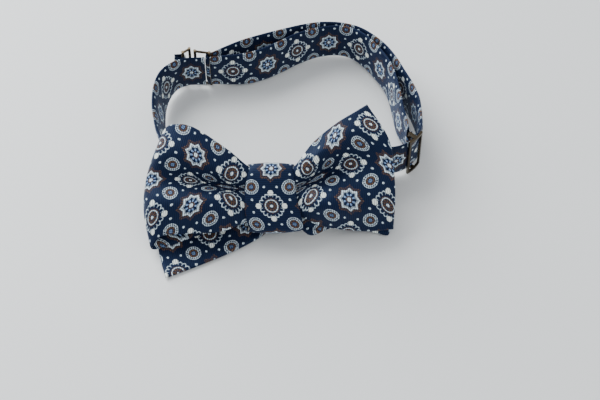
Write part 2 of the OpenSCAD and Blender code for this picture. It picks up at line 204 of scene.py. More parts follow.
def medallion_print():
    """The print: cloth position in millimetres in, colour and ink cover out."""
    tree, source, target = new_group(
        "medallion print",
        [
            ("Cloth", "NodeSocketVector", None),
            ("Ground", "NodeSocketColor", (0.0066, 0.0110, 0.036, 1)),
            ("Deep ground", "NodeSocketColor", (0.0036, 0.0058, 0.017, 1)),
            ("White", "NodeSocketColor", (0.78, 0.92, 1.0, 1)),
            ("Cream", "NodeSocketColor", (0.90, 0.96, 0.90, 1)),
            ("Sky", "NodeSocketColor", (0.30, 0.46, 0.76, 1)),
            ("Brown", "NodeSocketColor", (0.165, 0.083, 0.022, 1)),
        ],
        [("Color", "NodeSocketColor"), ("Ink", "NodeSocketFloat")],
    )
    links = tree.links
    # Threads carry the ink sideways a little, so the drawn lines are never quite clean
    noise = tree.nodes.new("ShaderNodeTexNoise")
    noise.inputs["Scale"].default_value = 1.9
    noise.inputs["Detail"].default_value = 2
    links.new(source.outputs["Cloth"], noise.inputs["Vector"])
    split = tree.nodes.new("ShaderNodeSeparateXYZ")
    links.new(source.outputs["Cloth"], split.inputs[0])
    bleed = Formula(tree, noise.outputs["Fac"]) - 0.5
    x_mm = Formula(tree, split.outputs["X"]) + bleed * 0.5
    y_mm = Formula(tree, split.outputs["Y"]) + bleed * -0.4
    # The ribs break the drawing into steps
    rib = 0.45
    x_mm = x_mm * 0.45 + (x_mm / rib).nearest() * (rib * 0.55)
    x = x_mm / repeat
    y = y_mm / repeat
    column = x.nearest()
    row = y.nearest()
    a = x - column
    b = y - row
    far = length(a, b)
    turn = b.step("ARCTAN2", a)
    even = (column + row).step("PINGPONG", 1).within(0.5)

    # Diamond: four cream tips, three dark petals in white scallops between each two of them
    petal_angle = 2 * math.pi / 16
    petal = (turn / petal_angle).nearest()
    off = turn - petal * petal_angle
    out = far * off.step("COSINE") - 0.262
    side = far * off.step("SINE")
    is_tip = (petal * 0.25 - (petal * 0.25).nearest()).size().within(0.1)
    scallop = length(out / 1.25, side).band(0.0505, 0.0082) * (out * -1).within(0.022, 0.02)
    scallop = scallop * flip(is_tip)
    tip_blob = lower(
        length(a.size() - 0.342, b), length(a, b.size() - 0.342)
    ).within(0.073)
    diamond_white = higher(scallop * 0.9, far.band(0.162, 0.0105))
    diamond_brown = higher(
        far.band(0.193, 0.010) * spoke(turn, 16, math.pi).within(0.5, 0.5),
        far.band(0.100, 0.042) * spoke(turn, 10).within(0.45, 0.5),
    )
    centre_white = far.within(0.038)

    # Star: two crossed squares, drawn in white, with a brown dotted outline
    c = (a + b) * 0.7071
    d = (a - b) * 0.7071
    star = lower(higher(a.size(), b.size()), higher(c.size(), d.size()))
    star_white = higher(star.band(0.184, 0.0160), star.band(0.149, 0.006) * 0.7)
    star_sky = flip(spoke(turn, 8, math.pi).within(0.25, 0.4)) * far.band(0.112, 0.027)
    star_brown = higher(star.band(0.226, 0.011), star.band(0.260, 0.012))
    star_brown = star_brown * flip(spoke(turn, 36).within(-0.55, 0.5))
    star_brown = higher(star_brown, far.band(0.069, 0.010))
    star_centre = far.within(0.047)

    # Small round: a ticked white ring, a brown ring and a light snowflake
    p = x - 0.5
    q = y - 0.5
    p = p - p.nearest()
    q = q - q.nearest()
    ring = length(p, q) * 1.09
    ring_turn = q.step("ARCTAN2", p)
    ring_ticks = ring.band(0.176, 0.030) * flip(spoke(ring_turn, 18).within(0.45, 0.35))
    ring_rim = ring.band(0.206, 0.0085)
    round_white = higher(higher(ring_rim * 0.85, ring.band(0.148, 0.008) * 0.9), ring_ticks * 0.55)
    round_brown = ring.band(0.102, 0.030) * spoke(ring_turn, 8, math.pi).within(0.75, 0.3)
    round_sky = ring.within(0.054) * flip(spoke(ring_turn, 8).within(0.1, 0.5)) * 0.75
    dots = lower(
        length(a.size() - 1 / 6, b.size() - 0.5), length(a.size() - 0.5, b.size() - 1 / 6)
    ).within(0.029)

    # Brown thread shows as dots, since it only covers the top of each rib
    fleck = tree.nodes.new("ShaderNodeTexNoise")
    fleck.inputs["Scale"].default_value = 3.4
    fleck.inputs["Detail"].default_value = 1
    links.new(source.outputs["Cloth"], fleck.inputs["Vector"])
    speckle = flip(Formula(tree, fleck.outputs["Fac"]).within(0.42, 0.09))

    def paint(below, colour, mask):
        mix = tree.nodes.new("ShaderNodeMix")
        mix.data_type = "RGBA"
        links.new(mask.socket, mix.inputs["Factor"])
        links.new(below, mix.inputs[6])
        links.new(source.outputs[colour], mix.inputs[7])
        return mix.outputs[2]

    broad = tree.nodes.new("ShaderNodeTexNoise")
    broad.inputs["Scale"].default_value = 0.05
    links.new(source.outputs["Cloth"], broad.inputs["Vector"])
    depth = Formula(tree, broad.outputs["Fac"]).within(0.5, 0.3) * 0.35
    white = higher(
        even * higher(diamond_white, centre_white),
        higher(flip(even) * higher(star_white, star_centre), higher(round_white, dots)),
    )
    cream = even * tip_blob
    sky = higher(flip(even) * star_sky * flip(star_centre), round_sky)
    brown = higher(
        higher(even * diamond_brown * flip(centre_white), flip(even) * star_brown), round_brown
    )
    shade = paint(source.outputs["Ground"], "Deep ground", depth)
    shade = paint(shade, "Brown", brown * (speckle * 0.65 + 0.15))
    shade = paint(shade, "Sky", sky * 0.9)
    shade = paint(shade, "White", white * 0.95)
    shade = paint(shade, "Cream", cream)
    links.new(shade, target.inputs["Color"])
    links.new(higher(white, cream).socket, target.inputs["Ink"])
    return tree


def silk_rib():
    """The weave: fine ribs across the cloth, crossed by the warp. Gives a height for the bump, and a mask
    for painted shade in the grooves and painted highlight on the crests.
    """
    tree, source, target = new_group(
        "silk rib",
        [
            ("Cloth", "NodeSocketVector", None),
            ("Rib", "NodeSocketFloat", 0.9),
            ("Thread", "NodeSocketFloat", 0.35),
        ],
        [("Height", "NodeSocketFloat"), ("Crest", "NodeSocketFloat")],
    )
    split = tree.nodes.new("ShaderNodeSeparateXYZ")
    tree.links.new(source.outputs["Cloth"], split.inputs[0])
    x = Formula(tree, split.outputs["X"])
    y = Formula(tree, split.outputs["Y"])
    ribs = x / Formula(tree, source.outputs["Rib"])
    threads = y / Formula(tree, source.outputs["Thread"])
    crest = (ribs * (2 * math.pi)).step("COSINE") * 0.5 + 0.5
    cross = ((threads + ribs.nearest() * 0.5) * (2 * math.pi)).step("COSINE") * 0.5 + 0.5
    slub = tree.nodes.new("ShaderNodeTexNoise")
    slub.inputs["Scale"].default_value = 0.9
    slub.inputs["Detail"].default_value = 3
    tree.links.new(source.outputs["Cloth"], slub.inputs["Vector"])
    height = crest * 0.6 + cross * 0.3 + Formula(tree, slub.outputs["Fac"]) * 0.25
    tree.links.new(height.socket, target.inputs["Height"])
    # The crest mask sets where the silk is painted lighter on the ribs and darker between them
    tree.links.new((crest * 0.7 + cross * 0.3).socket, target.inputs["Crest"])
    return tree


print_group = medallion_print()
rib_group = silk_rib()


def place_group(material, group):
    node = material.node_tree.nodes.new("ShaderNodeGroup")
    node.node_tree = group
    return node


def mixed(material, mask, first, second):
    """A plain mix of two numbers by a mask."""
    node = material.node_tree.nodes.new("ShaderNodeMapRange")
    material.node_tree.links.new(mask, node.inputs["Value"])
    node.inputs["To Min"].default_value = first
    node.inputs["To Max"].default_value = second
    return node.outputs["Result"]


def bump(material, height, distance, strength):
    node = material.node_tree.nodes.new("ShaderNodeBump")
    node.inputs["Distance"].default_value = distance
    node.inputs["Strength"].default_value = strength
    material.node_tree.links.new(height, node.inputs["Height"])
    return node.outputs["Normal"]


printed_silk = bpy.data.materials.new("printed silk")
printed_silk.use_nodes = True
silk_links = printed_silk.node_tree.links
silk_shader = printed_silk.node_tree.nodes["Principled BSDF"]
cloth_map = printed_silk.node_tree.nodes.new("ShaderNodeUVMap")
cloth_map.uv_map = "cloth"
# The map holds metres of cloth, and the groups work in millimetres
to_mm = printed_silk.node_tree.nodes.new("ShaderNodeVectorMath")
to_mm.operation = "SCALE"
to_mm.inputs["Scale"].default_value = 1000
silk_links.new(cloth_map.outputs["UV"], to_mm.inputs[0])
silk_print = place_group(printed_silk, print_group)
silk_weave = place_group(printed_silk, rib_group)
silk_links.new(to_mm.outputs[0], silk_print.inputs["Cloth"])
silk_links.new(to_mm.outputs[0], silk_weave.inputs["Cloth"])
# Painted shade and highlight on the weave: the print is multiplied by a grey that is dark in the grooves
# between the ribs and bright on their crests
silk_rib_shading = printed_silk.node_tree.nodes.new("ShaderNodeMix")
silk_rib_shading.data_type = "RGBA"
silk_rib_shading.blend_type = "MULTIPLY"
silk_rib_shading.inputs["Factor"].default_value = 0.8
silk_links.new(silk_print.outputs["Color"], silk_rib_shading.inputs[6])
rib_shade_and_highlight = printed_silk.node_tree.nodes.new("ShaderNodeCombineColor")
for channel in ("Red", "Green", "Blue"):
    silk_links.new(
        mixed(printed_silk, silk_weave.outputs["Crest"], 0.15, 1.55), rib_shade_and_highlight.inputs[channel]
    )
silk_links.new(rib_shade_and_highlight.outputs[0], silk_rib_shading.inputs[7])
silk_links.new(silk_rib_shading.outputs[2], silk_shader.inputs["Base Color"])
silk_links.new(
    mixed(printed_silk, silk_print.outputs["Ink"], 0.50, 0.66), silk_shader.inputs["Roughness"]
)
silk_links.new(
    bump(printed_silk, silk_weave.outputs["Height"], 0.00012, 0.7), silk_shader.inputs["Normal"]
)
silk_shader.inputs["Specular IOR Level"].default_value = 0.22
silk_shader.inputs["Specular Tint"].default_value = (0.30, 0.55, 1.0, 1)
silk_shader.inputs["Sheen Weight"].default_value = 0.13
silk_shader.inputs["Sheen Roughness"].default_value = 0.35
silk_shader.inputs["Sheen Tint"].default_value = (0.16, 0.38, 1.0, 1)

# ---------------------------------------------------------------- the front piece's flat end
# The right wing is the flat end of the front piece: a face and a back of printed silk, sewn
# together round the edge and turned out over a wool interlining. The knot pinches it, so a
# deep valley runs out of the knot with a raised ridge on each side.

knot_middle = sum(np.array(corner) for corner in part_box("knot_silk")) / 2 / mm
foot = knot_middle * (1, 1, 0)
lean = math.radians(37)
silk_t = 0.36
edge_roll = 1.5
# Half the thickness of the wing, of its sewn edge, of the seam in that edge, and of the wool
half_wing = 0.95
half_edge = 0.22
half_seam = 0.05
half_wool = 0.34


def through(points, k):
    """A smooth curve through the points, at each k from 0 to 1."""
    points = np.asarray(points, float)
    spans = len(points) - 1
    place = np.clip(np.asarray(k, float), 0, 1) * spans
    i = np.minimum(place.astype(int), spans - 1)
    f = (place - i).reshape(place.shape + (1,) * (points.ndim - 1))
    wide = np.concatenate([2 * points[:1] - points[1:2], points, 2 * points[-1:] - points[-2:-1]])
    a, b, c, d = wide[i], wide[i + 1], wide[i + 2], wide[i + 3]
    return b + 0.5 * f * ((c - a) + f * ((2 * a - 5 * b + 4 * c - d) + f * (3 * (b - c) + d - a)))


def sheet(net, along, across):
    """A smooth sheet through a net of points, as a grid."""
    columns = through(np.swapaxes(np.asarray(net, float), 0, 1), across)
    return through(np.swapaxes(columns, 0, 1), along)


def even_steps(count, fine_start=True, fine_end=True):
    """Steps from 0 to 1 that are closer together at the sewn edges."""
    k = np.linspace(0 if fine_start else 0.5, 1 if fine_end else 0.5, count + 1)
    k = k - 0.85 * np.sin(2 * math.pi * k) / (2 * math.pi)
    return (k - k[0]) / (k[-1] - k[0])


def crease(u, v, line, width):
    """How far a fold sinks at u, v. The line's points are [u, v, depth]."""
    line = np.asarray(line, float)
    nearest = np.full(u.shape, 1e9)
    depth = np.zeros(u.shape)
    for a, b in zip(line[:-1], line[1:]):
        run = b[:2] - a[:2]
        k = np.clip(((u - a[0]) * run[0] + (v - a[1]) * run[1]) / (run @ run), 0, 1)
        gap = np.hypot(u - a[0] - k * run[0], v - a[1] - k * run[1])
        closer = gap < nearest
        nearest = np.where(closer, gap, nearest)
        depth = np.where(closer, a[2] + k * (b[2] - a[2]), depth)
    return depth * np.exp(-((nearest / width) ** 2))


def on_bow(p):
    """[u, v, n] on the leaning bow, from the middle of the knot, to millimetres in the frame."""
    u, v, n = p[..., 0], p[..., 1], p[..., 2]
    x = knot_middle[0] + u
    y = knot_middle[1] + v * math.cos(lean) - n * math.sin(lean)
    z = knot_middle[2] + v * math.sin(lean) + n * math.cos(lean)
    return np.stack([x, y, z], axis=-1)


def run_length(grid, axis):
    """The distance along each line of a grid from its start."""
    gaps = np.linalg.norm(np.diff(grid, axis=axis), axis=-1)
    zero = np.zeros_like(np.take(gaps, [0], axis=axis))
    return np.cumsum(np.concatenate([zero, gaps], axis=axis), axis=axis)


def facing(grid):
    """The unit normal at each point of a grid."""
    normal = np.cross(np.gradient(grid, axis=0), np.gradient(grid, axis=1))
    return normal / np.maximum(np.linalg.norm(normal, axis=-1, keepdims=True), 1e-9)


def edge_puff(grid, ends):
    """0 at the sewn edges and 1 inside, rising as a quarter round. ends says which ends are sewn."""
    across = run_length(grid, 1)
    near = np.minimum(across, across[:, -1:] - across)
    along = run_length(grid, 0)
    if ends[0]:
        near = np.minimum(near, along)
    if ends[1]:
        near = np.minimum(near, along[-1:] - along)
    rise = 1 - np.clip(near / edge_roll, 0, 1)
    return np.sqrt(np.maximum(1 - rise**2, 0))[..., None]


def skin(name, outer, inner, cloth, wrap=False):
    """A closed piece of cloth from its outer and inner grids (mm), mapped by cloth (mm)."""
    rows, columns = outer.shape[:2]
    count = rows * columns
    faces = []
    corners = []

    def quad(ids, places):
        faces.append(ids)
        corners.extend(places)

    across = columns if wrap else columns - 1
    for i in range(rows - 1):
        for j in range(across):
            k = (j + 1) % columns
            ids = (i * columns + j, (i + 1) * columns + j, (i + 1) * columns + k, i * columns + k)
            places = ((i, j), (i + 1, j), (i + 1, j + 1), (i, j + 1))
            quad(ids, places)
            quad(tuple(count + n for n in reversed(ids)), tuple(reversed(places)))
    for i in (0, rows - 1):
        for j in range(across):
            k = (j + 1) % columns
            a, b = i * columns + j, i * columns + k
            quad((a, b, count + b, count + a), ((i, j), (i, j + 1), (i, j + 1), (i, j)))
    if not wrap:
        for j in (0, columns - 1):
            for i in range(rows - 1):
                a, b = i * columns + j, (i + 1) * columns + j
                quad((a, b, count + b, count + a), ((i, j), (i + 1, j), (i + 1, j), (i, j)))
    mesh = bpy.data.meshes.new(name)
    points = np.concatenate([outer.reshape(-1, 3), inner.reshape(-1, 3)]) * mm
    mesh.from_pydata(points.tolist(), [], faces)
    layer = mesh.uv_layers.new(name="cloth")
    spots = np.array(corners)
    layer.data.foreach_set("uv", (cloth[spots[:, 0], spots[:, 1]] * mm).astype(np.float32).ravel())
    form = bmesh.new()
    form.from_mesh(mesh)
    bmesh.ops.recalc_face_normals(form, faces=form.faces)
    form.to_mesh(mesh)
    form.free()
    mesh.polygons.foreach_set("use_smooth", [True] * len(mesh.polygons))
    piece = bpy.data.objects.new(name, mesh)
    bpy.context.scene.collection.objects.link(piece)
    return piece


def cloth_of(grid, offset, tucked=0.0, reach=30.0, fall=2, drawn_in=0.0):
    """Where each point of a wing lies on the flat cloth: along it, and across from its middle.
    The valley hides `tucked` mm of cloth at the knot, less and less over `reach` mm, and its
    bottom is drawn into the knot by `drawn_in` mm. It is narrow there and opens further out."""
    along = run_length(grid, 0)
    across = run_length(grid, 1)
    across = across - across[:, across.shape[1] // 2][:, None]
    valley = 2.5 + 7.5 * np.clip((along - 18) / 20, 0, 1)
    hidden = tucked * np.exp(-((along / reach) ** fall)) * np.tanh(across / valley) / 2
    along = along - drawn_in * np.exp(-((across / 7) ** 2))
    return np.stack([along * 0.97 + offset[0], across * 0.93 + hidden + offset[1]], axis=-1)


def finish_silk(piece, nodes_replaced, body="tie"):
    piece.data.materials.append(printed_silk)
    if body:
        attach(piece, body)
    if nodes_replaced:
        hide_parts(*nodes_replaced)


interlining = bpy.data.materials.new("wool interlining")
interlining.use_nodes = True
felt_shader = interlining.node_tree.nodes["Principled BSDF"]
felt_noise = interlining.node_tree.nodes.new("ShaderNodeTexNoise")
felt_noise.inputs["Scale"].default_value = 900
felt_noise.inputs["Detail"].default_value = 4
felt_colour = interlining.node_tree.nodes.new("ShaderNodeValToRGB")
felt_colour.color_ramp.elements[0].color = (0.52, 0.48, 0.40, 1)
felt_colour.color_ramp.elements[1].color = (0.78, 0.75, 0.67, 1)
interlining.node_tree.links.new(felt_noise.outputs["Fac"], felt_colour.inputs["Fac"])
interlining.node_tree.links.new(felt_colour.outputs["Color"], felt_shader.inputs["Base Color"])
interlining.node_tree.links.new(
    bump(interlining, felt_noise.outputs["Fac"], 0.0001, 0.6), felt_shader.inputs["Normal"]
)
felt_shader.inputs["Roughness"].default_value = 0.95


def make_wing(name, grid, outer_side, sewn_ends, cloth):
    """A wing's face, back and interlining on the grid of its middle. outer_side is 1 where the
    face is on the side of the grid's normal, and -1 where it is on the other side."""
    normal = facing(grid) * outer_side
    puff = edge_puff(grid, sewn_ends)
    for layer, side in (("face", 1), ("back", -1)):
        piece = skin(
            f"{name}_{layer}_silk",
            grid + side * normal * (half_edge + (half_wing - half_edge) * puff),
            grid + side * normal * (half_seam + (half_wing - silk_t - half_seam) * puff),
            cloth,
        )
        finish_silk(piece, [f"{name}_{layer}"])
    inset = slice(3, -3)
    start = 3 if sewn_ends[0] else 0
    stop = -3 if sewn_ends[1] else None
    core = grid[start:stop, inset]
    core_normal = normal[start:stop, inset]
    core_puff = puff[start:stop, inset]
    lining = skin(
        f"{name}_wool",
        core + core_normal * half_wool * core_puff,
        core - core_normal * half_wool * core_puff,
        cloth[start:stop, inset],
    )
    lining.data.materials.append(interlining)
    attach(lining, "tie")
    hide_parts(f"{name}_interlining")


blade_net = [
    [[1, -10, 2.7], [1, -5, 2.7], [1, 0.5, 2.7], [1, 6, 2.7], [1, 11, 2.7]],
    [[12.6, -8.5, 2.4], [12.3, -3, 3.4], [12, 4, 2], [11.5, 10, 3.4], [11.3, 15.2, 2.2]],
    [[22.5, -12.7, 0.6], [23, -2.5, 8.8], [22.5, 9.5, 0], [21.5, 18.5, 8], [20.2, 26.4, 4.4]],
    [[34.1, -15.1, -1.4], [35, -1.5, 8.6], [34, 15, 0.2], [32, 26, 7], [31.2, 35.6, 2.2]],
    [[46.9, -15.9, -3], [48.5, -1, 6], [47, 17, 1.6], [44, 30, 4.4], [40.4, 41.4, -1]],
    [[59.1, -15.1, -4.4], [59.6, 0.5, 1.6], [58.9, 14.8, 1], [56.4, 28.5, 1.4], [46.3, 45.1, -3.4]],
]
blade_along = even_steps(84, fine_start=False)
blade_across = even_steps(64)
blade_flat = sheet(blade_net, blade_along, blade_across)
blade_u, blade_v = blade_flat[..., 0], blade_flat[..., 1]
blade_valley = [(11, 4.6, 1.2), (18, 7.6, 3.0), (25, 11.1, 2.9), (33.5, 15.6, 1.6), (43, 19.2, 0)]
blade_flat[..., 2] -= crease(blade_u, blade_v, blade_valley, 2.7)
blade_flat[..., 2] += crease(
    blade_u, blade_v, [(11.5, 14, 0.3), (22.5, 19.4, 1.1), (30.6, 24, 0.9), (39, 27, 0)], 2.4
)
blade_flat[..., 2] -= crease(
    blade_u, blade_v, [(12, -1, 0.6), (20, -5.5, 0.9), (30, -8.5, 0.4), (38, -10, 0)], 1.6
)
blade_flat[..., 2] += crease(
    blade_u, blade_v, [(12, 1, 0.4), (22, 3.4, 0.8), (32, 6, 0.4), (40, 8, 0)], 1.8
)
blade_grid = on_bow(blade_flat)
make_wing(
    "blade", blade_grid, 1, (False, True),
    cloth_of(blade_grid, (-0.5, -0.2), tucked=24, reach=26, fall=3, drawn_in=4),
)

# ---------------------------------------------------------------- the front piece's loop
# The left wing is the other end of the same piece, folded to the left and back through the
# knot, so it is open at the top and bottom edges and its fold makes the wing's left end.

loop_net = [
    [[-1, -11, 2.7], [-1, -5, 2.7], [-1, 1, 2.7], [-1, 6, 2.7], [-1, 11, 2.7]],
    [[-12.4, -12, 2.6], [-12, -4, 3.6], [-12, 3.6, 2.6], [-11.5, 10, 3.6], [-10.8, 15.2, 2.6]],
    [[-24, -16, 4.4], [-24, -2.5, 9.2], [-24, 6, 1.8], [-23, 14, 8.2], [-21.8, 24, 4.6]],
    [[-40, -17, 5], [-41, -2.5, 9.6], [-41, 8.8, 2.6], [-39.5, 20, 9], [-37, 33.8, 4.8]],
    [[-52, -18.2, 4.7], [-55, -3, 7.4], [-54, 9, 4.2], [-51.6, 21, 6.8], [-46.5, 35.2, 4]],
    [[-56.8, -24.3, 1.9], [-60.2, -7, 0.6], [-59.4, 7, 0.6], [-55.8, 19.5, 0.6], [-50.2, 32.6, 0.6]],
    [[-50.5, -23.6, 0.2], [-54.5, -9, -3.8], [-54, 4, -5], [-51.5, 17, -5], [-46, 30, -4]],
    [[-37, -18.7, -2.6], [-38, -9, -5], [-38, 2, -5.6], [-37.5, 13, -5.6], [-36, 26, -4.5]],
    [[-22, -14.5, -2.2], [-22, -7, -3], [-22, 1, -3.2], [-22, 9, -3.2], [-21.5, 19, -2.5]],
    [[-12, -11, 0], [-12, -5, 0], [-12, 1, 0], [-12, 7, 0], [-12, 12, 0]],
    [[-1, -10.5, 0.7], [-1, -5, 0.7], [-1, 1, 0.7], [-1, 6, 0.7], [-1, 10.5, 0.7]],
]
loop_along = np.linspace(0, 1, 150)
loop_across = even_steps(60)
loop_flat = sheet(loop_net, loop_along, loop_across)
loop_u, loop_v = loop_flat[..., 0], loop_flat[..., 1]
front_ply = np.clip((0.47 - loop_along) / 0.07, 0, 1)[:, None]
loop_valley = [(-11, 4.6, 1.0), (-20, 4.6, 2.7), (-28, 6.2, 2.6), (-37, 8.2, 1.5), (-47, 10, 0)]
loop_flat[..., 2] -= front_ply * crease(loop_u, loop_v, loop_valley, 2.7)
loop_flat[..., 2] += front_ply * crease(
    loop_u, loop_v, [(-12, -0.4, 0.5), (-20, -0.4, 0.9), (-30, 0.4, 0.7), (-40, 3, 0)], 2.0
)
loop_flat[..., 2] -= front_ply * crease(
    loop_u, loop_v, [(-12, 11, 0.5), (-20, 14, 0.9), (-30, 19, 0.5), (-38, 23, 0)], 1.7
)
loop_grid = on_bow(loop_flat)
make_wing(
    "loop", loop_grid, -1, (False, False),
    cloth_of(loop_grid, (-0.5, 0), tucked=24, reach=38, drawn_in=1),
)

# ---------------------------------------------------------------- the rear piece
# Behind them the rear piece lies the other way about: its loop is folded behind the flat end,
# and its own flat end runs out under the loop and lies on the table.

rear_loop_net = [
    [[1, -11, -0.9], [1, -4, -0.9], [1, 3, -0.9], [1, 10.5, -0.9]],
    [[12, -13.5, -0.9], [12, -5, -0.9], [12, 4, -0.9], [12, 11.5, -0.9]],
    [[19.5, -18, -0.6], [19, -6, -1.2], [19, 5, -3], [18, 15, -2.6]],
    [[30, -14.4, -3.4], [30, -5, -2.6], [30, 7, -4], [28, 20, -3]],
    [[44, -15.6, -5.2], [45, -4, -4.2], [43, 9, -4.8], [39, 26, -5]],
    [[56.2, -18.2, -6.8], [58, -7, -7.3], [54.5, 9, -7.5], [46, 27, -7.2]],
    [[43, -13, -8.9], [43, -4, -10], [41, 8, -10], [36, 19, -9.2]],
    [[24, -14, -6.4], [24, -4, -7], [24, 5, -6.8], [22, 14, -5.8]],
    [[12, -11, -2.8], [12, -4, -3], [12, 4, -3], [12, 11, -2.8]],
    [[1, -10.5, -2.7], [1, -4, -2.7], [1, 3, -2.7], [1, 10.5, -2.7]],
]
rear_loop_along = np.linspace(0, 1, 120)
rear_loop_flat = sheet(rear_loop_net, rear_loop_along, even_steps(44))
rear_front = np.clip((0.5 - rear_loop_along) / 0.1, 0, 1)[:, None]
rear_loop_u, rear_loop_v = rear_loop_flat[..., 0], rear_loop_flat[..., 1]
rear_loop_flat[..., 2] -= rear_front * crease(
    rear_loop_u, rear_loop_v, [(12, -12, 0.6), (18, -14, 1.2), (27, -15, 0)], 1.2
)
rear_loop_grid = on_bow(rear_loop_flat)
make_wing(
    "rear_loop", rear_loop_grid, 1, (False, False),
    cloth_of(rear_loop_grid, (4, 5)),
)

tail_net = [
    [[0, -8, 1.6], [0, -2, 4.2], [0, 4, 8.5], [0, 8.5, 12.3]],
    [[-10, -15.3, 1.25], [-10, -7, 2.8], [-10, 2, 7.6], [-10, 9.5, 13.2]],
    [[-22, -22.4, 1.3], [-22, -12, 2.1], [-22, -1, 6.5], [-22, 10.5, 14.5]],
    [[-36, -29.2, 1.2], [-37, -16, 1.6], [-37.5, -2, 5.2], [-36, 12, 13.5]],
    [[-49.9, -35.6, 1.2], [-54, -20.5, 1.5], [-55.6, -4.5, 5.5], [-51, 12, 13]],
]
tail_grid = sheet(tail_net, even_steps(66, fine_start=False), even_steps(46)) + foot
make_wing(
    "tail", tail_grid, -1, (False, True),
    cloth_of(tail_grid, (5.5, 3)),
)

# ---------------------------------------------------------------- the knot
# A short width of the same piece is wrapped once round the middle, over its own interlining.
# It is pulled tight, flares a little towards the lower right, and its edges are turned in.

knot_half_v = 17.0
knot_half_n = 6.9
knot_left = [[-9.1, 17], [-11.2, 11], [-12.3, 5], [-12.6, -4.3], [-11.4, -11.5], [-9.5, -16]]
knot_right = [[9.9, 17.5], [11, 11], [11.7, 5.3], [12.5, 0], [14.6, -9], [16.4, -16]]
knot_round = np.linspace(0, 2 * math.pi, 97)[:-1]
knot_width = even_steps(44)


def side_at(edge, v):
    """Where a drawn edge of the knot stands at each height v."""
    edge = np.asarray(edge)[::-1]
    return np.interp(v, edge[:, 1], edge[:, 0])


def knot_surface(inset):
    """The knot's skin as a grid across the knot and round it, `inset` below its outside."""
    grid = np.zeros((len(knot_width), len(knot_round), 3))
    for i, w in enumerate(knot_width):
        across = 2 * w - 1
        swell = 1 - 0.075 * across**2 - 0.10 * abs(across) ** 9
        high = knot_half_v * (1 - 0.05 * across**2) - inset
        deep = knot_half_n * swell - inset
        cos, sin = np.cos(-knot_round), np.sin(-knot_round)
        v = high * np.sign(cos) * np.abs(cos) ** 0.78
        n = deep * np.sign(sin) * np.abs(sin) ** 0.66
        front = np.clip(-np.sin(knot_round) * 2, 0, 1)
        left, right = side_at(knot_left, v), side_at(knot_right, v)
        left = left * front + (1 - front) * -11.2
        right = right * front + (1 - front) * 11.2
        u = left + (right - left) * w
        tug = np.exp(-(((u - 5.5 + 0.18 * v) / 1.4) ** 2)) * 0.45
        tug += np.exp(-(((u + 6.5 + 0.1 * v) / 1.8) ** 2)) * 0.3
        n -= tug * front * np.clip(1 - (v / 16) ** 2, 0, 1)
        grid[i] = np.stack([u, v, n], axis=-1)
    return on_bow(grid)


knot_outer = knot_surface(0)
knot_inner = knot_surface(silk_t)
knot_loop = np.concatenate([knot_outer, knot_outer[:, :1]], axis=1)
knot_run = run_length(knot_loop, 1)
knot_side = run_length(knot_loop, 0)
front_middle = 3 * len(knot_round) // 4
knot_cloth = np.stack(
    [
        knot_run - knot_run[:, front_middle][:, None] + 3.8,
        knot_side - knot_side[len(knot_width) // 2][None, :],
    ],
    axis=-1,
)
knot_wrap = skin("knot_wrap", knot_outer, knot_inner, knot_cloth, wrap=True)
finish_silk(knot_wrap, ["knot_silk"])

knot_wool = skin(
    "knot_wool", knot_surface(silk_t + 0.1)[2:-2], knot_surface(1.3)[2:-2], knot_cloth[2:-2], wrap=True
)
knot_wool.data.materials.append(interlining)
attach(knot_wool, "tie")
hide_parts("knot_interlining")

# ---------------------------------------------------------------- the neckband
# The band is a flat tube of the same silk with a strip of interlining inside. It stands on
# its edge: a short half runs round the left to the hook, and the long strap runs round the
# right, through the slider, to the ring at the back and home again to the slider.

band_w = 21.0
band_half = 0.8
band_full = 1.18
band_wool = 0.22
knot_back = 11.5
edge_t = 0.32
band_z = 12.4
wire_gap = 0.1
wire_r = 0.75


def route(points):
    """Points [x, y, lean, cut] about the foot of the knot. Lean and cut may be left out."""
    return np.array([(*p, 0, 0)[:4] for p in points], float)


meet = np.array([-35.4, 85.6])
meet_angle = math.radians(3)
fold_r = band_half + wire_gap + wire_r
fold_s = fold_r + band_half + 0.35


def at_meet(s, n):
    """At the meeting of the ends: s along the band to the right, n outwards."""
    turn, rise = math.cos(meet_angle), math.sin(meet_angle)
    return (meet[0] + s * turn - n * rise, meet[1] + s * rise + n * turn)


bend_at = np.array([57.2, 43.6])
bend_r = 17.0
slider_angle = 48
slider_travel = 14


def on_bend(angle, r=bend_r):
    """Round the bend where the slider runs, by angle in degrees and radius."""
    angle = math.radians(angle)
    return (bend_at[0] + r * math.sin(angle), bend_at[1] - r * math.cos(angle))


# The band's section: how far up it each point of its outside is, closer at the rounded edges
section_up = np.array(
    [-1, -0.985, -0.95, -0.88, -0.76, -0.55, -0.28, 0, 0.28, 0.55, 0.76, 0.88, 0.95, 0.985, 1]
)


def sideways(line):
    """The unit direction to the right of a route at each of its points."""
    heading = np.gradient(line[:, :2], axis=0)
    heading /= np.linalg.norm(heading, axis=1, keepdims=True)
    return np.stack([heading[:, 1], -heading[:, 0]], axis=1)


def band_rings(line, half, high, inset=0.0):
    """The band's section carried along a route, as a grid along it and round it."""
    side = sideways(line)
    round_up = np.concatenate([section_up, section_up[-2:0:-1]])
    sense = np.concatenate([np.ones(len(section_up)), -np.ones(len(section_up) - 2)])
    thick = np.sqrt(np.maximum(1 - np.abs(round_up) ** 5, 0)) * sense
    grid = np.zeros((len(line), len(round_up), 3))
    for i, p in enumerate(line):
        up = round_up * (high - inset)
        out = thick * (half[i] - inset) + p[2] * up / band_w
        grid[i, :, :2] = p[:2] + side[i] * out[:, None]
        grid[i, :, 2] = band_z + up - p[3] * (0.5 + up / band_w)
    return grid + foot


def evenly(line, step):
    """The same route with points every `step` millimetres."""
    gaps = np.linalg.norm(np.diff(line[:, :2], axis=0), axis=1)
    place = np.concatenate([[0], np.cumsum(gaps)])
    spots = np.linspace(0, place[-1], int(place[-1] / step) + 1)
    return np.stack([np.interp(spots, place, line[:, c]) for c in range(4)], axis=1), spots


